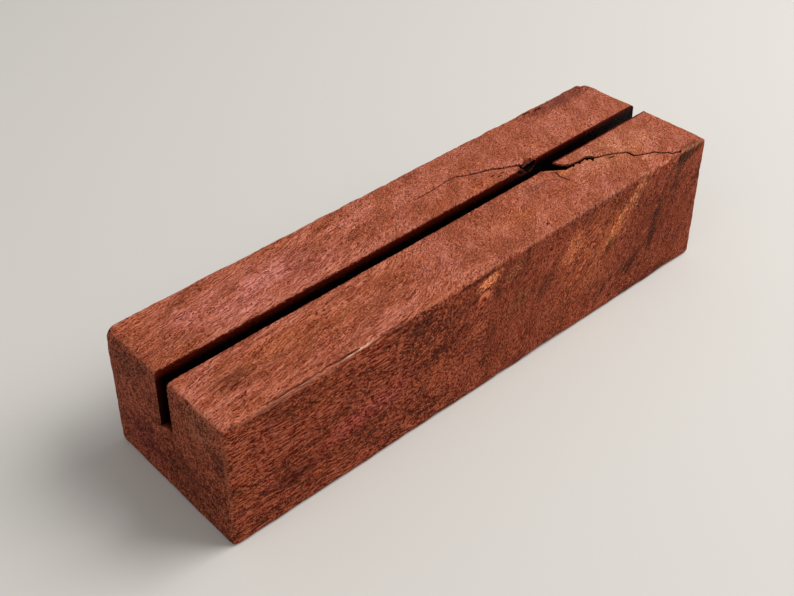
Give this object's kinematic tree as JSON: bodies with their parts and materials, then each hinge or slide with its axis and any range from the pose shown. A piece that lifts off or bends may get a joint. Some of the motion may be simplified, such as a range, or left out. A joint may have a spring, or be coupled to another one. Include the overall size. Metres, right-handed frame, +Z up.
{
  "type": "photo block",
  "caption": "Solid hardwood block with one saw slot along its top that holds a photograph or card upright on a desk or shelf.",
  "frame": {"origin": "centre of the bounding box's bottom, on the face that the block rests on", "axes": "+X along the block and its slot, from the near end to the taller far end with the crack; +Y from the front side to the back side; +Z up"},
  "size_m": [0.176, 0.05, 0.041],
  "materials": {
    "hardwood": "rough-sawn dark red hardwood with a dull waxed look"
  },
  "bodies": {
    "root": {"photo_block": "hardwood"}
  },
  "joints": []
}
